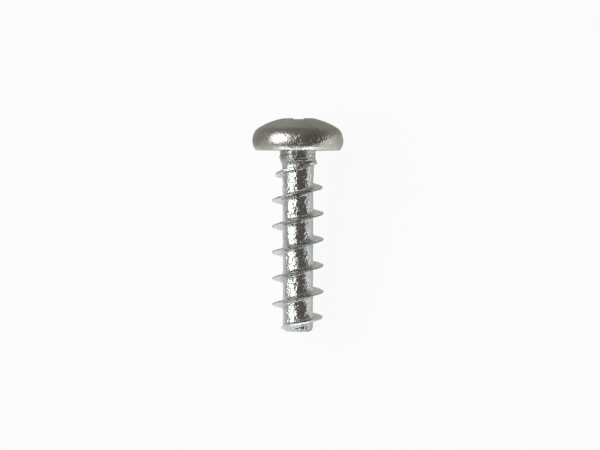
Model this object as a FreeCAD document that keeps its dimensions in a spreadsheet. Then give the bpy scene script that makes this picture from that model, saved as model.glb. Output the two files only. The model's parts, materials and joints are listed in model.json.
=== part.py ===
import FreeCAD, Part
import math
import os
import Sketcher

# Pan head screw with a coarse right-hand thread, a cross recess and a blunt end.
# In its body the axis is Z, with the head up and the bearing face at zero.
# The body's Placement lays it at rest: head rim and last full crest on the surface at Z zero.

os.makedirs("parts", exist_ok=True)
doc = FreeCAD.newDocument("Screw")

# Driving dimensions, in millimetres and degrees
SIZES = {
    "head_diameter": 8.92,
    "dome_width": 2.86,
    "crown_rise": 1.03,
    "shoulder_height": 2.08,
    "shoulder_inset": 0.46,
    "shoulder_rounding": 0.25,
    "widest_height": 0.92,
    "underhead_width": 0.47,
    "underhead_depth": 0.08,
    "neck_diameter": 3.47,
    "neck_length": 0.9,
    "shank_length": 17.71,
    "core_top_diameter": 3.17,
    "core_top_depth": 1.5,
    "core_diameter": 3.01,
    "core_depth": 3.2,
    "core_end_diameter": 2.92,
    "end_flat_diameter": 1.96,
    "end_rounding": 0.48,
    "thread_diameter": 5.04,
    "thread_pitch": 2.54,
    "crest_width": 0.06,
    "flank_angle": 10.5,
    "root_easing": 0.12,
    "ridge_rooting": 0.3,
    "first_crest_depth": 1.08,
    "runout_depth": 5.19,
    "runout_radius": 12.7,
    "end_fade_length": 2.1,
    "end_fade_clearance": 0.02,
    "recess_depth": 2.1,
    "recess_overcut": 0.2,
    "recess_floor_width": 2.0,
    "recess_edge_angle": 26.5,
    "wing_floor_thickness": 0.7,
    "wing_flank_angle": 5.75,
    "recess_core_diameter": 1.5,
    "recess_cone_angle": 70.0,
    "recess_turn": 4.0,
}

# Sizes that follow from the driving ones
DERIVED = {
    "head_radius": "Sizes.head_diameter / 2",
    "head_height": "Sizes.shoulder_height + Sizes.crown_rise",
    "shoulder_radius": "head_radius - Sizes.shoulder_inset",
    "crown_flat_radius": "head_radius - Sizes.dome_width",
    "dome_squares": "shoulder_radius ^ 2 - crown_flat_radius ^ 2 - Sizes.crown_rise ^ 2",
    "dome_centre": "Sizes.shoulder_height - dome_squares / (2 * Sizes.crown_rise)",
    "dome_radius": "sqrt(crown_flat_radius ^ 2 + (head_height - dome_centre) ^ 2)",
    "side_rise": "Sizes.shoulder_height - Sizes.widest_height",
    "side_radius": "(side_rise ^ 2 + Sizes.shoulder_inset ^ 2) / (2 * Sizes.shoulder_inset)",
    "side_centre": "head_radius - side_radius",
    "bearing_radius": "side_centre + sqrt(side_radius ^ 2 - Sizes.widest_height ^ 2)",
    "neck_radius": "Sizes.neck_diameter / 2",
    "core_end_radius": "Sizes.core_end_diameter / 2",
    "end_flat_radius": "Sizes.end_flat_diameter / 2",
    "crest_radius": "Sizes.thread_diameter / 2",
    "ridge_inner": "core_end_radius - Sizes.ridge_rooting",
    "ridge_outer": "crest_radius + Sizes.crest_width",
    "easing_radius": "Sizes.core_diameter / 2 + Sizes.root_easing",
    "flank_slope": "tan(Sizes.flank_angle)",
    "outer_half": "Sizes.crest_width / 2 - (ridge_outer - crest_radius) * flank_slope",
    "easing_half": "Sizes.crest_width / 2 + (crest_radius - easing_radius) * flank_slope",
    "inner_half": "easing_half + easing_radius - ridge_inner",
    "swept_depth": "Sizes.shank_length + inner_half - Sizes.first_crest_depth",
    "turns": "ceil(swept_depth / Sizes.thread_pitch)",
    "ridge_start": "Sizes.first_crest_depth + turns * Sizes.thread_pitch",
    "ridge_top": "Sizes.thread_pitch / 2",
    "fade_start": "Sizes.shank_length - Sizes.end_fade_length",
    "fade_end_radius": "end_flat_radius - Sizes.end_fade_clearance",
    "fade_step": "crest_radius - fade_end_radius",
    "fade_radius": "(Sizes.end_fade_length ^ 2 + fade_step ^ 2) / (2 * fade_step)",
    "runout_reach": "Sizes.runout_depth + ridge_top",
    "runout_step": "Sizes.runout_radius - sqrt(Sizes.runout_radius ^ 2 - runout_reach ^ 2)",
    "recess_floor": "head_height - Sizes.recess_depth",
    "recess_top": "head_height + Sizes.recess_overcut",
    "recess_rise": "recess_top - recess_floor",
    "wing_floor_reach": "Sizes.recess_floor_width / 2",
    "wing_top_reach": "wing_floor_reach + recess_rise * tan(Sizes.recess_edge_angle)",
    "wing_spread": "2 * recess_rise * tan(Sizes.wing_flank_angle)",
    "wing_top_thickness": "Sizes.wing_floor_thickness + wing_spread",
    "recess_core_radius": "Sizes.recess_core_diameter / 2",
    "recess_core_top": "recess_core_radius + recess_rise * tan(Sizes.wing_flank_angle)",
    "recess_cone_depth": "recess_core_radius / tan(Sizes.recess_cone_angle)",
    "floor_crest_first": "Sizes.first_crest_depth - Sizes.thread_pitch / 4",
    "floor_crest_reach": "fade_start + Sizes.thread_pitch / 8 - floor_crest_first",
    "floor_crest_steps": "floor(floor_crest_reach / Sizes.thread_pitch)",
    "contact_crest": "floor_crest_first + floor_crest_steps * Sizes.thread_pitch",
    "contact_depth": "contact_crest + Sizes.crest_width / 2",
    "rest_along": "contact_depth + Sizes.widest_height",
    "rest_drop": "side_centre - crest_radius",
    "rest_reach": "sqrt(rest_along ^ 2 + rest_drop ^ 2)",
    "rest_tilt": "atan2(rest_drop; rest_along) + asin(side_radius / rest_reach)",
    "axis_height": "side_centre * cos(rest_tilt) + side_radius",
    "bearing_height": "axis_height - Sizes.widest_height * sin(rest_tilt)",
    "head_reach": "dome_centre * cos(rest_tilt) + dome_radius",
    "end_centre_depth": "Sizes.shank_length - Sizes.end_rounding",
    "end_centre_radius": "core_end_radius - Sizes.end_rounding",
    "end_reach": "end_centre_depth * cos(rest_tilt) + end_centre_radius * sin(rest_tilt)",
    "bearing_shift": "(end_reach + Sizes.end_rounding - head_reach) / 2",
}


def fill_sheet(name, cells):
    """A sheet with a name in column A and its value, under that alias, in column B."""
    sheet = doc.addObject("Spreadsheet::Sheet", name)
    for row, (alias, content) in enumerate(cells.items(), start=1):
        sheet.set(f"A{row}", alias)
        sheet.set(f"B{row}", content)
        sheet.setAlias(f"B{row}", alias)
    return sheet


sizes = fill_sheet("Sizes", {alias: str(number) for alias, number in SIZES.items()})
derived = fill_sheet("Derived", {alias: "=" + formula for alias, formula in DERIVED.items()})
doc.recompute()


def value(expression):
    """The number that a sheet expression stands for now."""
    found = derived.evalExpression(expression)
    return float(getattr(found, "Value", found))


def origin_part(body, role):
    """One of the body's own origin planes or axes."""
    return next(item for item in body.Origin.OriginFeatures if item.Role == role)


def new_sketch(body, name, role="XZ_Plane"):
    sketch = body.newObject("Sketcher::SketchObject", name)
    sketch.AttachmentSupport = (origin_part(body, role), [""])
    sketch.MapMode = "FlatFace"
    return sketch


def arc_between(start, end, radius):
    """The short arc that bulges to the left of the way from start to end."""
    half = (end - start) * 0.5
    rise = math.sqrt(max(radius**2 - half.Length**2, 0.0))
    left = FreeCAD.Vector(-half.y, half.x, 0).normalize()
    centre = start + half - left * rise
    first, last = [math.atan2(point.y - centre.y, point.x - centre.x) for point in (end, start)]
    if last < first:
        last += 2 * math.pi
    circle = Part.Circle(centre, FreeCAD.Vector(0, 0, 1), radius)
    return Part.ArcOfCircle(circle, first, last)


def draw_profile(sketch, corners, arcs=None):
    """Close a profile through corners, each a pair of expressions.

    arcs maps the number of a side to its radius, and an arc is drawn from its far corner back.
    """
    arcs = arcs or {}
    points = [FreeCAD.Vector(value(across), value(along), 0) for across, along in corners]
    ends = []
    for number, start in enumerate(points):
        end = points[(number + 1) % len(points)]
        if number in arcs:
            sketch.addGeometry(arc_between(start, end, value(arcs[number])))
            ends.append((2, 1))
        else:
            sketch.addGeometry(Part.LineSegment(start, end))
            ends.append((1, 2))
    for number in range(len(points)):
        other = (number + 1) % len(points)
        joint = (number, ends[number][1], other, ends[other][0])
        sketch.addConstraint(Sketcher.Constraint("Coincident", *joint))
    for number, (across, along) in enumerate(corners):
        place_corner(sketch, (number, ends[number][0]), number, across, along)
    for number, radius in arcs.items():
        index = sketch.addConstraint(Sketcher.Constraint("Radius", number, value(radius)))
        bind(sketch, index, f"radius_{number}", radius)


def place_corner(sketch, vertex, number, across, along):
    """Tie a corner to the sketch's origin, or to its axes where it lies on one."""
    rules = (("DistanceX", across, -2, "across"), ("DistanceY", along, -1, "along"))
    for kind, expression, axis, word in rules:
        if expression == "0":
            sketch.addConstraint(Sketcher.Constraint("PointOnObject", *vertex, axis))
        else:
            distance = Sketcher.Constraint(kind, -1, 1, *vertex, value(expression))
            index = sketch.addConstraint(distance)
            bind(sketch, index, f"{word}_{number}", expression)


def bind(sketch, index, name, expression):
    """Name a sketch dimension and tie it to the sheets."""
    sketch.renameConstraint(index, name)
    sketch.setExpression(f"Constraints.{name}", expression)


def thread_ridge(body):
    """The helical ridge: a thin trapezoid with eased roots, swept up into the head."""
    sketch = new_sketch(body, "RidgeProfile")
    middle = "-Derived.ridge_start"
    corners = [
        ("Derived.ridge_inner", f"{middle} - Derived.inner_half"),
        ("Derived.easing_radius", f"{middle} - Derived.easing_half"),
        ("Derived.ridge_outer", f"{middle} - Derived.outer_half"),
        ("Derived.ridge_outer", f"{middle} + Derived.outer_half"),
        ("Derived.easing_radius", f"{middle} + Derived.easing_half"),
        ("Derived.ridge_inner", f"{middle} + Derived.inner_half"),
    ]
    draw_profile(sketch, corners)
    doc.recompute()
    helix = body.newObject("PartDesign::AdditiveHelix", "Ridge")
    helix.Profile = sketch
    helix.ReferenceAxis = (sketch, ["V_Axis"])
    helix.Mode = 0
    helix.LeftHanded = False
    helix.Reversed = False
    helix.setExpression("Pitch", "Sizes.thread_pitch")
    helix.setExpression("Height", "Derived.ridge_start")
    return helix


def thread_envelope(body):
    """Trim the ridge to its crest cylinder, fading under the head and at the end."""
    sketch = new_sketch(body, "EnvelopeProfile")
    clear = "Derived.ridge_outer + Sizes.crest_width"
    below = "-Derived.ridge_start - Sizes.thread_pitch"
    corners = [
        ("Derived.crest_radius", "-Sizes.runout_depth"),
        ("Derived.crest_radius", "-Derived.fade_start"),
        ("Derived.fade_end_radius", "-Sizes.shank_length"),
        ("Derived.ridge_inner / 2", "-Sizes.shank_length"),
        ("Derived.ridge_inner / 2", below),
        (clear, below),
        (clear, "Derived.ridge_top"),
        ("Derived.crest_radius - Derived.runout_step", "Derived.ridge_top"),
    ]
    arcs = {1: "Derived.fade_radius", 7: "Sizes.runout_radius"}
    draw_profile(sketch, corners, arcs)
    doc.recompute()
    groove = body.newObject("PartDesign::Groove", "Envelope")
    groove.Profile = sketch
    groove.ReferenceAxis = (sketch, ["V_Axis"])
    groove.Angle = 360
    return groove


def blank(body):
    """Head, eased neck, tapered core and rounded blunt end, turned in one profile."""
    sketch = new_sketch(body, "BlankProfile")
    corners = [
        ("0", "Derived.head_height"),
        ("Derived.crown_flat_radius", "Derived.head_height"),
        ("Derived.shoulder_radius", "Sizes.shoulder_height"),
        ("Derived.bearing_radius", "0"),
        ("Derived.neck_radius + Sizes.underhead_width", "0"),
        ("Derived.neck_radius", "-Sizes.underhead_depth"),
        ("Derived.neck_radius", "-Sizes.neck_length"),
        ("Sizes.core_top_diameter / 2", "-Sizes.core_top_depth"),
        ("Sizes.core_diameter / 2", "-Sizes.core_depth"),
        ("Derived.core_end_radius", "-Derived.end_centre_depth"),
        ("Derived.end_flat_radius", "-Sizes.shank_length"),
        ("0", "-Sizes.shank_length"),
    ]
    arcs = {1: "Derived.dome_radius", 2: "Derived.side_radius", 9: "Sizes.end_rounding"}
    draw_profile(sketch, corners, arcs)
    doc.recompute()
    turned = body.newObject("PartDesign::Revolution", "Blank")
    turned.Profile = sketch
    turned.ReferenceAxis = (sketch, ["V_Axis"])
    turned.Angle = 360
    return turned


def ease_shoulder(body, turned):
    """Round the edge where the dome meets the side of the head."""
    height = value("Sizes.shoulder_height")
    names = []
    for number, edge in enumerate(turned.Shape.Edges, start=1):
        if all(abs(vertex.Z - height) < 1e-6 for vertex in edge.Vertexes):
            names.append(f"Edge{number}")
    fillet = body.newObject("PartDesign::Fillet", "Shoulder")
    fillet.Base = (turned, names)
    fillet.setExpression("Radius", "Sizes.shoulder_rounding")
    return fillet


def recess_core(body):
    """The middle of the recess: a slightly tapered round hole with a blunt cone for a floor."""
    sketch = new_sketch(body, "RecessCoreProfile")
    corners = [
        ("0", "Derived.recess_floor - Derived.recess_cone_depth"),
        ("Derived.recess_core_radius", "Derived.recess_floor"),
        ("Derived.recess_core_top", "Derived.recess_top"),
        ("0", "Derived.recess_top"),
    ]
    draw_profile(sketch, corners)
    doc.recompute()
    groove = body.newObject("PartDesign::Groove", "RecessCore")
    groove.Profile = sketch
    groove.ReferenceAxis = (sketch, ["V_Axis"])
    groove.Angle = 360
    return groove


def wing_section(body, name, height, reach, thickness):
    """A level section of one wing of the recess, from the axis outwards."""
    sketch = new_sketch(body, name, "XY_Plane")
    up = FreeCAD.Vector(0, 0, 1)
    sketch.AttachmentOffset = FreeCAD.Placement(up, FreeCAD.Rotation(up, 1))
    sketch.setExpression("AttachmentOffset.Base.z", height)
    sketch.setExpression("AttachmentOffset.Rotation.Angle", "Sizes.recess_turn")
    corners = [
        ("0", f"-{thickness} / 2"),
        (reach, f"-{thickness} / 2"),
        (reach, f"{thickness} / 2"),
        ("0", f"{thickness} / 2"),
    ]
    draw_profile(sketch, corners)
    return sketch


def recess_wings(body):
    """One tapered wing of the cross, repeated four times round the axis."""
    floor = wing_section(
        body, "WingFloor", "Derived.recess_floor", "Derived.wing_floor_reach", "Sizes.wing_floor_thickness"
    )
    top = wing_section(
        body, "WingTop", "Derived.recess_top", "Derived.wing_top_reach", "Derived.wing_top_thickness"
    )
    doc.recompute()
    wing = body.newObject("PartDesign::SubtractiveLoft", "Wing")
    wing.Profile = floor
    wing.Sections = [top]
    wing.Ruled = True
    doc.recompute()
    wings = body.newObject("PartDesign::PolarPattern", "Wings")
    wings.Originals = [wing]
    wings.Axis = (origin_part(body, "Z_Axis"), [""])
    wings.Angle = 360
    wings.Occurrences = 4
    body.Tip = wings
    return wings


def lay_at_rest(body):
    """Lay the screw on its head rim and its last full crest, head towards +Y."""
    body.Placement = FreeCAD.Placement(FreeCAD.Vector(), FreeCAD.Rotation(FreeCAD.Vector(-1, 0, 0), 80))
    body.setExpression("Placement.Rotation.Angle", "90 deg - Derived.rest_tilt")
    body.setExpression("Placement.Base.y", "Derived.bearing_shift")
    body.setExpression("Placement.Base.z", "Derived.bearing_height")


screw = doc.addObject("PartDesign::Body", "Screw")
screw.Label = "screw"
thread_ridge(screw)
doc.recompute()
thread_envelope(screw)
doc.recompute()
turned = blank(screw)
doc.recompute()
ease_shoulder(screw, turned)
doc.recompute()
recess_core(screw)
doc.recompute()
recess_wings(screw)
doc.recompute()
lay_at_rest(screw)
doc.recompute()

for item in doc.Objects:
    if "Invalid" in item.State or "Error" in item.State:
        raise RuntimeError(f"{item.Label} failed: {item.getStatusString()}")
if screw.Shape.isNull() or not screw.Shape.isValid() or len(screw.Shape.Solids) != 1:
    raise RuntimeError(f"{screw.Label} is not one sound solid")
screw.Shape.exportStep(f"parts/{screw.Label}.step")
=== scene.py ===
import json
import math
import bpy
from mathutils import Matrix, Vector


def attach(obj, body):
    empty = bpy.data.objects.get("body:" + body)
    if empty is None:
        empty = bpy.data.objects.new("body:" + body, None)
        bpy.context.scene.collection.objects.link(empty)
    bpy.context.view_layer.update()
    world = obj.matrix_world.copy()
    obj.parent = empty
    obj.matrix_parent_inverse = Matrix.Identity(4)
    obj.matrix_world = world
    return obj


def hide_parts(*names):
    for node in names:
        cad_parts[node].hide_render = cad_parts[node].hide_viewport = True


# Pan head screw lying on a white table, dressed over its solid.
# The screw is drawn upright in millimetres, bearing face at zero, and is then laid down in its mesh.

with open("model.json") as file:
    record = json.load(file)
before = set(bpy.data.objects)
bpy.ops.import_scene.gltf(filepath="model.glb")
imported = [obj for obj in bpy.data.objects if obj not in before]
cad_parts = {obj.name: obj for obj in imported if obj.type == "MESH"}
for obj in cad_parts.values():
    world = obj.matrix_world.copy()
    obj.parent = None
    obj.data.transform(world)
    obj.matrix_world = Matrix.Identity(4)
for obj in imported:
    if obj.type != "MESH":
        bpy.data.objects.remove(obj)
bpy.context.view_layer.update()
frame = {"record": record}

MM = 0.001

# Head, in millimetres
HEAD_RADIUS = 4.45
HEAD_HEIGHT = 3.11
CROWN_FLAT_RADIUS = 1.6
SHOULDER_HEIGHT = 2.08
SHOULDER_RADIUS = 4.02
SHOULDER_ROUNDING = 0.45
WIDEST_HEIGHT = 0.92
BEARING_RADIUS = 4.13
NECK_EASE_WIDTH = 0.15
NECK_EASE_DEPTH = 0.1

# Shank and thread, in millimetres and degrees
SHANK = {
    "Neck Radius": 1.735,
    "Neck Length": 0.9,
    "Bead Height": 0.07,
    "Bead Depth": 0.85,
    "Bead Lean": 0.2,
    "Bead Width": 0.32,
    "Core Top Radius": 1.585,
    "Core Top Depth": 1.5,
    "Core Radius": 1.505,
    "Core Depth": 3.2,
    "Core End Radius": 1.46,
    "Shank Length": 17.71,
    "End Rounding": 0.48,
    "Pitch": 2.54,
    "Crest Radius": 2.52,
    "Crest Width": 0.1,
    "Crest Rounding": 0.035,
    "Flank Angle": 10.5,
    "Root Easing": 0.12,
    "Root Easing Width": 0.2,
    "First Crest Depth": 1.08,
    "Run-out Depth": 5.19,
    "Run-out Radius": 12.7,
    "Fade Length": 2.1,
    "Fade Radius": 2.194,
}

# Cross recess, in millimetres and degrees
RECESS = {
    "Recess Floor": HEAD_HEIGHT - 2.1,
    "Recess Rise": 2.3,
    "Floor Reach": 1.0,
    "Edge Angle": 26.5,
    "Wing Floor Thickness": 0.7,
    "Wing Angle": 5.75,
    "Hole Radius": 0.75,
    "Hole Cone Depth": 0.27,
    "Recess Turn": 4.0,
}
WINGS = 4

# Low lumps all over the skin, in millimetres, and the share of them that the head has
RELIEF = {"Relief Size": 0.7, "Relief Height": 0.12}
RELIEF_OVER_HEIGHT = (-0.2, 0.2, 1.0, 0.35)

# Fineness of the mesh
STEPS_ROUND = 160
CREST_COLUMNS = 2
FLANK_COLUMNS = 6
EASING_COLUMNS = 4
ROOT_COLUMNS = 10
HALF_COLUMNS = CREST_COLUMNS + FLANK_COLUMNS + EASING_COLUMNS + ROOT_COLUMNS
HALF_TURN = 0.5
TIP_RINGS = 8
HOLE_SIDES = 48
EASE_STEPS = 3
BEARING_STEPS = 12
RIM_STEPS = 14
SIDE_STEPS = 12
SHOULDER_STEPS = 6
DOME_STEPS = 16
CROWN_STEPS = 10
MERGE_DISTANCE = 0.002
SHARP_ANGLE = 38.0

# Patterns in the zinc: size of the lumps in millimetres, detail and twist
CLOUD = (2.4, 3.0, 0.0)
PEEL = (0.33, 1.5, 0.6)
GRAIN = (0.1, 1.0, 0.0)
SPECKLE = (0.2, 1.0, 0.0)
RINGS = (0.3, 1.0, 0.0)

# Ramps in the zinc: start, end and the values there, which are 0 and 1 if they aren't given.
# They run over the height above the bearing face, the distance from the axis and the distance to
# the right of it, all in millimetres, or over a pattern.
HEAD_OVER_HEIGHT = (-0.06, -0.02)
NECK_OVER_HEIGHT = (-1.4, -1.0)
CROWN_OVER_HEIGHT = (1.5, 2.3)
# Painted highlight at the head's lower rim
PAINTED_RIM_HIGHLIGHT_OVER_HEIGHT = (0.2, 0.5, 0.45, 0.0)
# Painted sheen on the thread's flanks
PAINTED_SHEEN_OVER_REACH = (1.65, 1.9, 0.0, 0.6)
# Painted dark line along the thread's crests
PAINTED_CREST_SHADE_OVER_REACH = (2.38, 2.5, 0.0, 0.6)
SHADE_OVER_CLOUD = (0.35, 0.65)
SPOTS_OVER_SPECKLE = (0.5, 0.7)
# Painted shade on the neck under the head
PAINTED_NECK_SHADE_OVER_HEIGHT = (-1.5, -0.7)
PAINTED_NECK_SHADE_OVER_CLOUD = (0.3, 0.55, 0.45, 1.0)
PAINTED_NECK_SHADE_OVER_RIGHT = (0.3, 1.2, 1.0, 0.3)
HEAD_PEEL_OVER_RIGHT = (-2.0, 0.5, -0.56, 0.02)
HEAD_PEEL_OVER_HEIGHT = (0.2, 0.8, -0.25, 0.0)

# Colours of the zinc, with a painted sheen on the thread's flanks, a painted dark line on its crests, painted
# shade on the neck and a painted highlight at the head's lower rim
SHANK_COLOURS = ((0.48, 0.525, 0.5, 1), (0.58, 0.605, 0.59, 1))
SIDE_COLOURS = ((0.43, 0.425, 0.395, 1), (0.54, 0.54, 0.51, 1))
CROWN_COLOURS = ((0.37, 0.37, 0.33, 1), (0.44, 0.445, 0.41, 1))
PAINTED_SHEEN_RIDGE_COLOUR = (0.68, 0.7, 0.68, 1)
PAINTED_NECK_SHADE_COLOUR = (0.34, 0.38, 0.365, 1)
PAINTED_CREST_SHADE_COLOUR = (0.12, 0.135, 0.13, 1)
PAINTED_RIM_HIGHLIGHT_COLOUR = (0.72, 0.72, 0.69, 1)

# Roughness of the zinc, and what each pattern or place adds to it
PLAIN_ROUGHNESS = 0.12
CLOUD_ROUGHNESS = 0.06
SHANK_SPOT_ROUGHNESS = 0.2
HEAD_SPOT_ROUGHNESS = 0.07
CROWN_ROUGHNESS = 0.05
PAINTED_NECK_SHADE_ROUGHNESS = 0.08
HEAD_ROUGHNESS = 0.05

# Relief of the zinc: its depth in millimetres, the weight of each pattern, and the share that the crown lacks
BUMP_DEPTH = 0.12
PEEL_WEIGHT = 0.76
GRAIN_WEIGHT = 0.16
RINGS_WEIGHT = 1.5
CROWN_LACKS = 0.3

# Table: colour of its paper, share of its own light in what the camera sees and in what reflections
# see, and its reach in metres
PAPER_COLOUR = (0.9, 0.9, 0.9, 1)
GLOW_TO_CAMERA = 0.93
GLOW_TO_REFLECTIONS = 0.9
TABLE_REACH = 4.0

# Painted shade of the table, which only reflections see: dark zones past the head and on the left, a paler
# strip, and a painted shadow of the screw on its right, as ramps over millimetres to the right of and past
# the origin
DARK_PAST_HEAD = (6.0, 9.0, 0.0, 0.85)
PAST_HEAD_LEAN = 0.45
PALE_STRIP_MIDDLE = 22.0
PALE_STRIP_HALF_WIDTH = 6.0
PALE_STRIP_SHARE = 0.45
DARK_ON_LEFT = (-9.0, -5.0, 1.0, 0.0)
DARK_ON_LEFT_PAST = (5.0, 7.0, 0.6, 1.0)
# Painted shadow of the screw on the table's right
PAINTED_SHADOW_SPREAD_PAST = (3.0, 7.0, 1.0, 3.2)
PAINTED_SHADOW_START = (-1.0, 1.5)
PAINTED_SHADOW_FADE = (3.0, 6.0, 0.6, 0.2)
FAR_RIGHT = (8.0, 16.0)
NEAR_PAINTED_SHADE = (0.36, 0.35, 0.32, 1)
FAR_PAINTED_SHADE = (0.22, 0.215, 0.2, 1)
WHITE = (1, 1, 1, 1)

# Colours of the room, and ramps over the parts of the direction that it is seen in
DARK_CEILING = (0.15, 0.123, 0.11, 1)
PALE_CEILING = (0.28, 0.265, 0.245, 1)
WALL = (0.26, 0.25, 0.225, 1)
LIT_WALL = (0.82, 0.82, 0.82, 1)
CEILING_OVER_FORWARD = (0.45, 0.95)
CEILING_OVER_HEIGHT = (0.14, 0.3)
FOOT_OVER_FORWARD = (-0.6, -0.1, 1.0, 0.0)
RIGHT_OVER_RIGHT = (0.1, 0.5)
RIGHT_OVER_FORWARD_AND_HEIGHT = (0.2, 0.34, 1.0, 0.0)
LIT_OVER_HEIGHT = (0.18, 0.32, 1.0, 0.0)

# Softboxes: name, azimuth and elevation in degrees, distance, width and height in metres, radiance
SOFTBOXES = (
    ("softbox left", 172, 42, 0.6, (0.6, 0.46), 3.2),
    ("softbox right", -14, 6, 0.7, (0.6, 0.22), 0.95),
    ("softbox foot", -90, 12, 0.6, (0.9, 0.22), 1.9),
)

# Where the picture shows the screw: pixels across and down, and pixels to the millimetre
PICTURE_WIDTH = 600
PICTURE_HEIGHT = 450
AXIS_COLUMN = 297.85
BEARING_ROW = 150.3
PIXELS_PER_MM = 10.236
CAMERA_DISTANCE = 0.5
SENSOR_WIDTH = 36.0
NEAREST_SEEN = 0.01

# Sockets of the Mix node that mix colours
MIX_FIRST = 6
MIX_SECOND = 7
MIX_RESULT = 2


class Wire:
    """A socket that Python's operators turn into Math nodes."""

    def __init__(self, graph, socket):
        self.graph = graph
        self.socket = socket

    def math(self, operation, *others):
        return self.graph.math(operation, self, *others)

    def __add__(self, other):
        return self.math("ADD", other)

    def __radd__(self, other):
        return self.graph.math("ADD", other, self)

    def __sub__(self, other):
        return self.math("SUBTRACT", other)

    def __rsub__(self, other):
        return self.graph.math("SUBTRACT", other, self)

    def __mul__(self, other):
        return self.math("MULTIPLY", other)

    def __rmul__(self, other):
        return self.graph.math("MULTIPLY", other, self)

    def __truediv__(self, other):
        return self.math("DIVIDE", other)

    def __rtruediv__(self, other):
        return self.graph.math("DIVIDE", other, self)

    def root(self):
        return self.math("MAXIMUM", 0.0).math("SQRT")

    def tangent(self):
        return self.math("RADIANS").math("TANGENT")

    def ramp(self, start, end, low=0.0, high=1.0):
        """A straight ramp from low at start to high at end, level beyond them."""
        sockets = {"Value": self, "From Min": start, "From Max": end, "To Min": low, "To Max": high}
        return self.graph.node("ShaderNodeMapRange", {"clamp": True}, sockets)


class Graph:
    """A node tree that is filled one node at a time."""

    def __init__(self, tree):
        self.tree = tree
        tree.nodes.clear()

    def node(self, kind, settings=None, sockets=None, out=0):
        """Add a node with its settings, and the value, wire or list of wires of each socket."""
        made = self.tree.nodes.new(kind)
        for name, value in (settings or {}).items():
            setattr(made, name, value)
        for name, value in (sockets or {}).items():
            for item in value if isinstance(value, list) else [value]:
                if isinstance(item, Wire):
                    self.tree.links.new(item.socket, made.inputs[name])
                else:
                    made.inputs[name].default_value = item
        return Wire(self, made.outputs[out]) if made.outputs else None

    def math(self, operation, *values):
        return self.node("ShaderNodeMath", {"operation": operation}, dict(enumerate(values)))

    def vector(self, x=0.0, y=0.0, z=0.0):
        return self.node("ShaderNodeCombineXYZ", {}, {"X": x, "Y": y, "Z": z})

    def parts(self, vector):
        """The three parts of a vector."""
        split = self.node("ShaderNodeSeparateXYZ", {}, {"Vector": vector})
        return [Wire(self, output) for output in split.socket.node.outputs]

    def blend(self, factor, first, second):
        """Two colours mixed by a factor."""
        sockets = {"Factor": factor, MIX_FIRST: first, MIX_SECOND: second}
        return self.node("ShaderNodeMix", {"data_type": "RGBA"}, sockets, out=MIX_RESULT)

    def noise(self, place, size, detail, twist):
        """Cloudy noise from 0 to 1 whose lumps are about one size across."""
        sockets = {"Vector": place, "Scale": 1.0 / size, "Detail": detail, "Distortion": twist}
        return self.node("ShaderNodeTexNoise", {}, sockets)


def arc(centre, radius, first, last, steps):
    """Points of a round stretch of an outline, between two angles from straight out."""
    points = []
    for step in range(steps + 1):
        angle = first + (last - first) * step / steps
        points.append((centre[0] + radius * math.cos(angle), centre[1] + radius * math.sin(angle)))
    return points


def level(start, end, steps):
    """Points of a straight stretch of an outline, without its last one."""
    fractions = [step / steps for step in range(steps)]
    return [tuple(a + (b - a) * fraction for a, b in zip(start, end)) for fraction in fractions]


def bend(start, corner, end, steps):
    """Points of an outline's stretch that is pulled towards a corner, without its two ends."""
    points = []
    for step in range(1, steps):
        share = step / steps
        weights = ((1 - share) ** 2, 2 * share * (1 - share), share**2)
        points.append(tuple(
            weights[0] * a + weights[1] * b + weights[2] * c for a, b, c in zip(start, corner, end)
        ))
    return points


def circle_over(rise, inset, edge):
    """Centre and radius of the arc that is upright at the edge and falls in by inset over a rise."""
    radius = (rise**2 + inset**2) / (2 * inset)
    return edge - radius, radius


def rim_points():
    """The head's outline from the bearing face round to its widest place."""
    centre, radius = circle_over(WIDEST_HEIGHT, HEAD_RADIUS - BEARING_RADIUS, HEAD_RADIUS)
    angle = math.asin(WIDEST_HEIGHT / radius)
    return arc((centre, WIDEST_HEIGHT), radius, -angle, 0, RIM_STEPS)


def side_points():
    """The head's outline from its widest place up to where the shoulder's rounding starts."""
    rise = SHOULDER_HEIGHT - WIDEST_HEIGHT
    centre, radius = circle_over(rise, HEAD_RADIUS - SHOULDER_RADIUS, HEAD_RADIUS)
    angle = math.asin(rise / radius) - SHOULDER_ROUNDING / 2 / radius
    return arc((centre, WIDEST_HEIGHT), radius, 0, angle, SIDE_STEPS)


def dome_points():
    """The head's outline from the end of the shoulder's rounding to the flat of the crown."""
    rise = HEAD_HEIGHT - SHOULDER_HEIGHT
    squares = SHOULDER_RADIUS**2 - CROWN_FLAT_RADIUS**2 - rise**2
    centre = SHOULDER_HEIGHT - squares / (2 * rise)
    radius = math.hypot(CROWN_FLAT_RADIUS, HEAD_HEIGHT - centre)
    first = math.atan2(SHOULDER_HEIGHT - centre, SHOULDER_RADIUS) + SHOULDER_ROUNDING / 2 / radius
    last = math.atan2(HEAD_HEIGHT - centre, CROWN_FLAT_RADIUS)
    return arc((0, centre), radius, first, last, DOME_STEPS)


def head_outline():
    """Radius and height of the head's outline, from the neck round to the middle of the crown."""
    neck = (SHANK["Neck Radius"], -NECK_EASE_DEPTH)
    eased = (SHANK["Neck Radius"] + NECK_EASE_WIDTH, 0)
    side = side_points()
    dome = dome_points()
    points = level(neck, eased, EASE_STEPS)
    points += level(eased, (BEARING_RADIUS, 0), BEARING_STEPS)
    points += rim_points()
    points += side[1:]
    points += bend(side[-1], (SHOULDER_RADIUS, SHOULDER_HEIGHT), dome[0], SHOULDER_STEPS)
    points += dome[:-1]
    points += level((CROWN_FLAT_RADIUS, HEAD_HEIGHT), (0, HEAD_HEIGHT), CROWN_STEPS)
    return points + [(0, HEAD_HEIGHT)]


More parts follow.
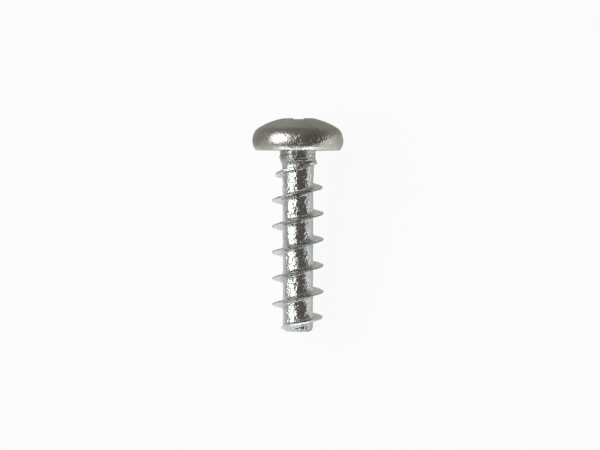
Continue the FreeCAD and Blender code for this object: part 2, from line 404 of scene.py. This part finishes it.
def outline_object(name, points):
    """An object whose points, in order, are the outline that the tree turns into the head."""
    mesh = bpy.data.meshes.new(name)
    edges = [(number, number + 1) for number in range(len(points) - 1)]
    mesh.from_pydata([(radius, 0, height) for radius, height in points], edges, [])
    made = bpy.data.objects.new(name, mesh)
    bpy.context.scene.collection.objects.link(made)
    return made


def core_radius(size, depth):
    """Radius of the neck, the tapered core and the rounded end at a depth under the head."""
    rounding = size("End Rounding")
    end_start = size("Shank Length") - rounding
    neck_fall = size("Neck Radius") - size("Core Top Radius")
    top_fall = size("Core Top Radius") - size("Core Radius")
    low_fall = size("Core Radius") - size("Core End Radius")
    neck = depth.ramp(size("Neck Length"), size("Core Top Depth"), 0.0, neck_fall)
    top = depth.ramp(size("Core Top Depth"), size("Core Depth"), 0.0, top_fall)
    low = depth.ramp(size("Core Depth"), end_start, 0.0, low_fall)
    into_end = (depth - end_start).math("MAXIMUM", 0.0)
    end = rounding - (rounding * rounding - into_end * into_end).root()
    return size("Neck Radius") - neck - top - low - end


def neck_bead(size, depth, wound):
    """Height of the low bead that the thread rolling pushed up round the neck."""
    middle = size("Bead Depth") + (wound * math.tau).math("COSINE") * size("Bead Lean")
    near = (1.0 - (depth - middle).math("ABSOLUTE") / size("Bead Width")).math("MAXIMUM", 0.0)
    return near * near * (3.0 - 2.0 * near) * size("Bead Height")


def crest_limit(size, depth):
    """Radius that trims the ridge where it rises out of the neck and fades at the end."""
    before = (size("Run-out Depth") - depth).math("MAXIMUM", 0.0)
    runout = size("Run-out Radius")
    rising = runout - (runout * runout - before * before).root()
    past = (depth - (size("Shank Length") - size("Fade Length"))).math("MAXIMUM", 0.0)
    fade = size("Fade Radius")
    falling = fade - (fade * fade - past * past).root()
    return size("Crest Radius") - rising - falling


def turned_place(graph, turns, radius, height):
    """The point at a radius and height after that many turns round the axis."""
    angle = turns * math.tau
    return graph.vector(radius * angle.math("COSINE"), radius * angle.math("SINE"), height)


def unit_grid(graph, across, along):
    """A grid of points, with fractions from 0 to 1 across and along it."""
    sockets = {"Size X": 1.0, "Size Y": 1.0, "Vertices X": across, "Vertices Y": along}
    grid = graph.node("GeometryNodeMeshGrid", {}, sockets)
    x, y, _ = graph.parts(graph.node("GeometryNodeInputPosition"))
    return grid, x + 0.5, y + 0.5


def moved(graph, geometry, place):
    return graph.node("GeometryNodeSetPosition", {}, {"Geometry": geometry, "Position": place})


def ridge_section(size, away):
    """Distance from the crest and radius of half the ridge, over a share from the crest to the root."""
    ends = [CREST_COLUMNS, CREST_COLUMNS + FLANK_COLUMNS, HALF_COLUMNS - ROOT_COLUMNS, HALF_COLUMNS]
    starts = [0] + ends[:-1]
    crest, flank, easing, root = [
        away.ramp(start / HALF_COLUMNS, end / HALF_COLUMNS) for start, end in zip(starts, ends)
    ]
    rounded = size("Crest Radius") - size("Crest Rounding")
    flank_height = rounded - size("Core Radius") - size("Root Easing")
    crest_half = size("Crest Width") / 2.0
    flank_width = flank_height * size("Flank Angle").tangent()
    easing_width = size("Root Easing Width")
    root_width = size("Pitch") / 2.0 - crest_half - flank_width - easing_width
    offset = crest * crest_half + flank * flank_width + easing * easing_width + root * root_width
    eased = 1.0 - (1.0 - easing) * (1.0 - easing)
    radius = size("Crest Radius") - crest * crest * size("Crest Rounding") - flank * flank_height
    return offset, radius - eased * size("Root Easing") - root * size("Root Easing")


def threaded_shank(graph, size):
    """Neck, core and thread as one skin: a strip one pitch wide that winds up the shank."""
    pitch = size("Pitch")
    # The strip starts at least half a turn below the end, and its points there are held at the end.
    length_below = SHANK["Shank Length"] - SHANK["First Crest Depth"]
    turns_below = math.ceil(length_below / SHANK["Pitch"] + HALF_TURN)
    turns = turns_below + 1
    grid, along, across = unit_grid(graph, STEPS_ROUND * turns + 1, 2 * HALF_COLUMNS + 1)
    wound = along * float(turns)
    side = across * 2.0 - 1.0
    offset, ridge = ridge_section(size, side.math("ABSOLUTE"))
    crest_depth = size("First Crest Depth") + pitch * float(turns_below) - pitch * wound
    depth = crest_depth - side.math("SIGN") * offset
    depth = depth.math("MAXIMUM", NECK_EASE_DEPTH).math("MINIMUM", size("Shank Length"))
    core = core_radius(size, depth) + neck_bead(size, depth, wound)
    radius = ridge.math("MINIMUM", crest_limit(size, depth)).math("MAXIMUM", core)
    return moved(graph, grid, turned_place(graph, wound, radius, 0.0 - depth))


def blunt_end(graph, size):
    """The flat end face, as rings round the axis."""
    grid, around, out = unit_grid(graph, STEPS_ROUND + 1, TIP_RINGS + 1)
    radius = out * (size("Core End Radius") - size("End Rounding"))
    return moved(graph, grid, turned_place(graph, around, radius, 0.0 - size("Shank Length")))


def turned_head(graph, outline, count):
    """The head's outline turned round the axis."""
    grid, around, along = unit_grid(graph, STEPS_ROUND + 1, count)
    point = (along * float(count - 1)).math("ROUND")
    place = graph.node("GeometryNodeInputPosition")
    sockets = {"Geometry": outline, "Value": place, "Index": point}
    sampled = graph.node("GeometryNodeSampleIndex", {"data_type": "FLOAT_VECTOR"}, sockets)
    radius, _, height = graph.parts(sampled)
    return moved(graph, grid, turned_place(graph, around, radius, height))


def recess_wing(graph, size):
    """One tapered wing of the cross, from the floor of the recess to above the crown."""
    cube = graph.node("GeometryNodeMeshCube", {}, {"Size": (1.0, 1.0, 1.0)})
    x, y, z = graph.parts(graph.node("GeometryNodeInputPosition"))
    up = (z + 0.5) * size("Recess Rise")
    reach = size("Floor Reach") + up * size("Edge Angle").tangent()
    thickness = size("Wing Floor Thickness") + 2.0 * up * size("Wing Angle").tangent()
    place = graph.vector((x + 0.5) * reach, y * thickness, size("Recess Floor") + up)
    return moved(graph, cube, place)


def round_cutter(graph, top_radius, low_radius, depth, height):
    """A round cutter that stands at a height, with a radius at its top and one at its foot."""
    sockets = {
        "Vertices": HOLE_SIDES,
        "Radius Top": top_radius,
        "Radius Bottom": low_radius,
        "Depth": depth,
    }
    cutter = graph.node("GeometryNodeMeshCone", {}, sockets)
    sockets = {"Geometry": cutter, "Translation": graph.vector(z=height)}
    return graph.node("GeometryNodeTransform", {}, sockets)


def recess_cutter(graph, size):
    """The wings round the axis, and the round hole with a cone for a floor between them."""
    points = graph.node("GeometryNodeMeshLine", {}, {"Count": WINGS, "Offset": (0.0, 0.0, 0.0)})
    turn = graph.node("GeometryNodeInputIndex") * (math.tau / WINGS) + size("Recess Turn").math("RADIANS")
    sockets = {"Points": points, "Instance": recess_wing(graph, size), "Rotation": graph.vector(z=turn)}
    wings = graph.node("GeometryNodeInstanceOnPoints", {}, sockets)
    wings = graph.node("GeometryNodeRealizeInstances", {}, {0: wings})
    floor = size("Recess Floor")
    hole_radius = size("Hole Radius")
    top_radius = hole_radius + size("Recess Rise") * size("Wing Angle").tangent()
    hole = round_cutter(graph, top_radius, hole_radius, size("Recess Rise"), floor)
    cone_depth = size("Hole Cone Depth")
    cone = round_cutter(graph, hole_radius, 0.0, cone_depth, floor - cone_depth)
    return [wings, hole, cone]


def lumpy(graph, size, skin):
    """The skin with low lumps, which are lower on the head."""
    place = graph.node("GeometryNodeInputPosition")
    sockets = {"Vector": place, "Scale": 1.0 / size("Relief Size"), "Detail": 2.0}
    lumps = (graph.node("ShaderNodeTexNoise", {}, sockets) - 0.5) * size("Relief Height")
    lumps = lumps * graph.parts(place)[2].ramp(*RELIEF_OVER_HEIGHT)
    sockets = {0: graph.node("GeometryNodeInputNormal"), "Scale": lumps}
    shift = graph.node("ShaderNodeVectorMath", {"operation": "SCALE"}, sockets)
    return graph.node("GeometryNodeSetPosition", {}, {"Geometry": skin, "Offset": shift})


def shaded(graph, skin):
    """The skin shaded smooth, apart from its sharp corners."""
    sockets = {"Geometry": skin, "Shade Smooth": True}
    skin = graph.node("GeometryNodeSetShadeSmooth", {"domain": "FACE"}, sockets)
    corner = graph.node("GeometryNodeInputMeshEdgeAngle").math("GREATER_THAN", math.radians(SHARP_ANGLE))
    sockets = {"Geometry": skin, "Selection": corner, "Shade Smooth": False}
    return graph.node("GeometryNodeSetShadeSmooth", {"domain": "EDGE"}, sockets)


def screw_tree(count, finish):
    """The tree that makes the whole screw from the outline of its head and its named sizes."""
    tree = bpy.data.node_groups.new("screw", "GeometryNodeTree")
    tree.interface.new_socket("Outline", in_out="INPUT", socket_type="NodeSocketGeometry")
    for name in (*SHANK, *RECESS, *RELIEF):
        tree.interface.new_socket(name, in_out="INPUT", socket_type="NodeSocketFloat")
    tree.interface.new_socket("Geometry", in_out="OUTPUT", socket_type="NodeSocketGeometry")
    graph = Graph(tree)
    given = tree.nodes.new("NodeGroupInput")

    def size(name):
        return Wire(graph, given.outputs[name])

    head = turned_head(graph, size("Outline"), count)
    skins = [head, threaded_shank(graph, size), blunt_end(graph, size)]
    skin = graph.node("GeometryNodeJoinGeometry", {}, {0: skins})
    sockets = {"Geometry": skin, "Distance": MERGE_DISTANCE}
    skin = lumpy(graph, size, graph.node("GeometryNodeMergeByDistance", {}, sockets))
    sockets = {"Mesh 1": skin, "Mesh 2": recess_cutter(graph, size), "Self Intersection": True}
    settings = {"operation": "DIFFERENCE", "solver": "EXACT"}
    skin = shaded(graph, graph.node("GeometryNodeMeshBoolean", settings, sockets))
    skin = graph.node("GeometryNodeRealizeInstances", {}, {"Geometry": skin})
    skin = graph.node("GeometryNodeSetMaterial", {}, {"Geometry": skin, "Material": finish})
    graph.node("NodeGroupOutput", {}, {"Geometry": skin})
    return tree


def screw_axis():
    """The frame's screw: the way from its end to its head, and the middle of its bearing face."""
    mounts = {mount["name"]: mount for mount in frame["record"]["mounts"]}
    axis = Vector(mounts["driver_recess"]["axis"])
    return axis, Vector(mounts["driver_recess"]["pos_m"]) - axis * HEAD_HEIGHT * MM


def laid_down():
    """From the upright drawing in millimetres to where the frame's screw lies, in metres."""
    axis, bearing_centre = screw_axis()
    lean = Matrix.Rotation(-math.atan2(axis.y, axis.z), 4, "X")
    return Matrix.Translation(bearing_centre) @ lean @ Matrix.Scale(MM, 4)


def make_screw(finish):
    outline = head_outline()
    drawn = outline_object("head outline", outline)
    tree = screw_tree(len(outline), finish)
    modifier = drawn.modifiers.new("screw", "NODES")
    modifier.node_group = tree
    identifiers = {item.name: item.identifier for item in tree.interface.items_tree if item.in_out == "INPUT"}
    for name, number in {**SHANK, **RECESS, **RELIEF}.items():
        modifier[identifiers[name]] = number
    depsgraph = bpy.context.evaluated_depsgraph_get()
    mesh = bpy.data.meshes.new_from_object(drawn.evaluated_get(depsgraph), depsgraph=depsgraph)
    mesh.name = "screw"
    mesh.transform(laid_down())
    bpy.data.objects.remove(drawn)
    made = bpy.data.objects.new("screw_dressed", mesh)
    bpy.context.scene.collection.objects.link(made)
    return made


def new_material(name):
    material = bpy.data.materials.new(name)
    material.use_nodes = True
    return material, Graph(material.node_tree)


def place_on_screw(graph, place):
    """Height over the bearing face and distance from the axis of a place, in millimetres."""
    axis, bearing_centre = screw_axis()
    sockets = {0: place, 1: bearing_centre}
    away = graph.node("ShaderNodeVectorMath", {"operation": "SUBTRACT"}, sockets)
    sockets = {0: away, 1: axis}
    height = graph.node("ShaderNodeVectorMath", {"operation": "DOT_PRODUCT"}, sockets, out="Value") / MM
    reach = graph.node("ShaderNodeVectorMath", {"operation": "LENGTH"}, {0: away}, out="Value") / MM
    return height, (reach * reach - height * height).root()


def zinc_steel():
    """Bright zinc on a lumpy steel skin: warm and dull on the crown, slightly green on the shank."""
    material, graph = new_material("zinc over steel")
    place = graph.node("ShaderNodeTexCoord", out="Object")
    millimetres = graph.node("ShaderNodeVectorMath", {"operation": "SCALE"}, {0: place, "Scale": 1.0 / MM})
    right = graph.parts(millimetres)[0]
    height, reach = place_on_screw(graph, place)
    head = height.ramp(*HEAD_OVER_HEIGHT)
    crown = height.ramp(*CROWN_OVER_HEIGHT)
    neck = height.ramp(*NECK_OVER_HEIGHT) * (1.0 - head)
    cloud, peel, grain, speckle = [
        graph.noise(millimetres, *pattern) for pattern in (CLOUD, PEEL, GRAIN, SPECKLE)
    ]
    rings = graph.noise(graph.vector(z=height), *RINGS)
    shade = cloud.ramp(*SHADE_OVER_CLOUD)
    spots = speckle.ramp(*SPOTS_OVER_SPECKLE)
    # Painted shade on the neck under the head, blotchy and fading towards the right; the same mask also adds
    # roughness, there and on the head.
    painted_neck_shade = height.ramp(*PAINTED_NECK_SHADE_OVER_HEIGHT) * cloud.ramp(*PAINTED_NECK_SHADE_OVER_CLOUD)
    painted_neck_shade = painted_neck_shade * right.ramp(*PAINTED_NECK_SHADE_OVER_RIGHT)

    shank_colour = graph.blend(shade, *SHANK_COLOURS)
    # Painted sheen: the thread's flanks are lighter.
    shank_colour = graph.blend(reach.ramp(*PAINTED_SHEEN_OVER_REACH), shank_colour, PAINTED_SHEEN_RIDGE_COLOUR)
    shank_colour = graph.blend(painted_neck_shade, shank_colour, PAINTED_NECK_SHADE_COLOUR)
    # Painted shade: a dark line along the thread's crests.
    shank_colour = graph.blend(reach.ramp(*PAINTED_CREST_SHADE_OVER_REACH), shank_colour, PAINTED_CREST_SHADE_COLOUR)
    side_colour = graph.blend(shade, *SIDE_COLOURS)
    # Painted highlight: a paler band at the head's lower rim.
    side_colour = graph.blend(height.ramp(*PAINTED_RIM_HIGHLIGHT_OVER_HEIGHT), side_colour, PAINTED_RIM_HIGHLIGHT_COLOUR)
    head_colour = graph.blend(crown, side_colour, graph.blend(shade, *CROWN_COLOURS))
    colour = graph.blend(head, shank_colour, head_colour)

    roughness = PLAIN_ROUGHNESS + cloud * CLOUD_ROUGHNESS
    smoother = SHANK_SPOT_ROUGHNESS - HEAD_SPOT_ROUGHNESS
    roughness = roughness + spots * (SHANK_SPOT_ROUGHNESS - head * smoother)
    roughness = roughness + crown * CROWN_ROUGHNESS + painted_neck_shade * PAINTED_NECK_SHADE_ROUGHNESS + head * HEAD_ROUGHNESS

    head_peel = right.ramp(*HEAD_PEEL_OVER_RIGHT) + height.ramp(*HEAD_PEEL_OVER_HEIGHT)
    relief = peel * (PEEL_WEIGHT + head * head_peel) + grain * GRAIN_WEIGHT + rings * neck * RINGS_WEIGHT
    relief = relief * (1.0 - crown * CROWN_LACKS)
    sockets = {"Height": relief, "Strength": 1.0, "Distance": BUMP_DEPTH * MM}
    bump = graph.node("ShaderNodeBump", {}, sockets)
    sockets = {"Base Color": colour, "Metallic": 1.0, "Roughness": roughness, "Normal": bump}
    shader = graph.node("ShaderNodeBsdfPrincipled", {}, sockets)
    graph.node("ShaderNodeOutputMaterial", {}, {"Surface": shader})
    return material


def table_light(graph, camera):
    """The table's light: white to the camera all over; to reflections it is painted shade, darker in zones,
    with a painted shadow of the screw.
    """
    place = graph.node("ShaderNodeTexCoord", out="Object")
    right, past, _ = [part / MM for part in graph.parts(place)]
    # Painted light and shade that only reflections see: a paler strip, and darker zones past the head and on
    # the left
    strip = 1.0 - (past - PALE_STRIP_MIDDLE).math("ABSOLUTE") / PALE_STRIP_HALF_WIDTH
    strip = strip.math("MAXIMUM", 0.0)
    past_head = (past - right.math("MAXIMUM", 0.0) * PAST_HEAD_LEAN).ramp(*DARK_PAST_HEAD)
    past_head = past_head * (1.0 - strip * PALE_STRIP_SHARE)
    left = right.ramp(*DARK_ON_LEFT) * past.ramp(*DARK_ON_LEFT_PAST)
    spread = past.ramp(*PAINTED_SHADOW_SPREAD_PAST)
    # A painted shadow of the screw on the table's right, which only reflections see.
    shadow = right.ramp(*PAINTED_SHADOW_START) * (right / spread).ramp(*PAINTED_SHADOW_FADE)
    lit = (1.0 - past_head) * (1.0 - left) * (1.0 - shadow)
    dark = graph.blend(right.ramp(*FAR_RIGHT), NEAR_PAINTED_SHADE, FAR_PAINTED_SHADE)
    return graph.blend(lit.math("MAXIMUM", camera), dark, WHITE)


def white_table():
    """Pale paper that glows to the camera and in reflections, and keeps the screw's shadow."""
    material, graph = new_material("white table")
    camera, glossy, clear = [
        graph.node("ShaderNodeLightPath", out=name)
        for name in ("Is Camera Ray", "Is Glossy Ray", "Is Transmission Ray")
    ]
    seen = camera * GLOW_TO_CAMERA + glossy.math("MAXIMUM", clear) * GLOW_TO_REFLECTIONS
    paper = graph.node("ShaderNodeBsdfDiffuse", {}, {"Color": PAPER_COLOUR})
    sockets = {"Color": table_light(graph, camera), "Strength": 1.0}
    glow = graph.node("ShaderNodeEmission", {}, sockets)
    mixed = graph.node("ShaderNodeMixShader", {}, {0: seen, 1: paper, 2: glow})
    graph.node("ShaderNodeOutputMaterial", {}, {"Surface": mixed})
    return material


def add_table():
    mesh = bpy.data.meshes.new("table")
    signs = ((-1, -1), (1, -1), (1, 1), (-1, 1))
    corners = [(x * TABLE_REACH, y * TABLE_REACH, 0) for x, y in signs]
    mesh.from_pydata(corners, [], [(0, 1, 2, 3)])
    mesh.materials.append(white_table())
    table = bpy.data.objects.new("table", mesh)
    bpy.context.scene.collection.objects.link(table)


def add_softbox(name, azimuth, elevation, distance, size, radiance):
    """A rectangular lamp aimed at the screw; azimuth counts from +X towards +Y."""
    lamp = bpy.data.lights.new(name, "AREA")
    lamp.shape = "RECTANGLE"
    lamp.size, lamp.size_y = size
    lamp.energy = radiance * math.pi * size[0] * size[1]
    box = bpy.data.objects.new(name, lamp)
    turn, lift = math.radians(azimuth), math.radians(elevation)
    way = Vector((math.cos(turn) * math.cos(lift), math.sin(turn) * math.cos(lift), math.sin(lift)))
    box.location = way * distance
    box.rotation_euler = way.to_track_quat("Z", "Y").to_euler()
    bpy.context.scene.collection.objects.link(box)


def add_room():
    """Walls lit low at the foot and on the right, under a dark ceiling that is paler past the head."""
    world = bpy.data.worlds.new("room")
    world.use_nodes = True
    bpy.context.scene.world = world
    graph = Graph(world.node_tree)
    right, forward, height = graph.parts(graph.node("ShaderNodeTexCoord", out="Generated"))
    ceiling = graph.blend(forward.ramp(*CEILING_OVER_FORWARD), DARK_CEILING, PALE_CEILING)
    colour = graph.blend(height.ramp(*CEILING_OVER_HEIGHT), WALL, ceiling)
    foot = forward.ramp(*FOOT_OVER_FORWARD)
    side = right.ramp(*RIGHT_OVER_RIGHT) * (forward + height).ramp(*RIGHT_OVER_FORWARD_AND_HEIGHT)
    lit = foot.math("MAXIMUM", side) * height.ramp(*LIT_OVER_HEIGHT)
    colour = graph.blend(lit, colour, LIT_WALL)
    background = graph.node("ShaderNodeBackground", {}, {"Color": colour, "Strength": 1.0})
    graph.node("ShaderNodeOutputWorld", {}, {"Surface": background})


def add_camera():
    """Square to the screw's length from above, with its head at the top of the picture."""
    place = laid_down()
    across, upward, toward = [
        (place.to_3x3() @ Vector(way)).normalized() for way in ((1, 0, 0), (0, 0, 1), (0, -1, 0))
    ]
    right = (PICTURE_WIDTH / 2 - AXIS_COLUMN) / PIXELS_PER_MM * MM
    down = (PICTURE_HEIGHT / 2 - BEARING_ROW) / PIXELS_PER_MM * MM
    target = place.translation + across * right - upward * down
    data = bpy.data.cameras.new("camera")
    data.sensor_width = SENSOR_WIDTH
    data.lens = SENSOR_WIDTH * CAMERA_DISTANCE / (PICTURE_WIDTH / PIXELS_PER_MM * MM)
    data.clip_start = NEAREST_SEEN
    camera = bpy.data.objects.new("camera", data)
    turn = Matrix((across, upward, toward)).transposed().to_4x4()
    camera.matrix_world = Matrix.Translation(target + toward * CAMERA_DISTANCE) @ turn
    bpy.context.scene.collection.objects.link(camera)
    bpy.context.scene.camera = camera


screw = make_screw(zinc_steel())
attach(screw, "root")
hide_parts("screw")
add_table()
add_room()
for softbox in SOFTBOXES:
    add_softbox(*softbox)
add_camera()
bpy.context.scene.view_settings.view_transform = "Standard"
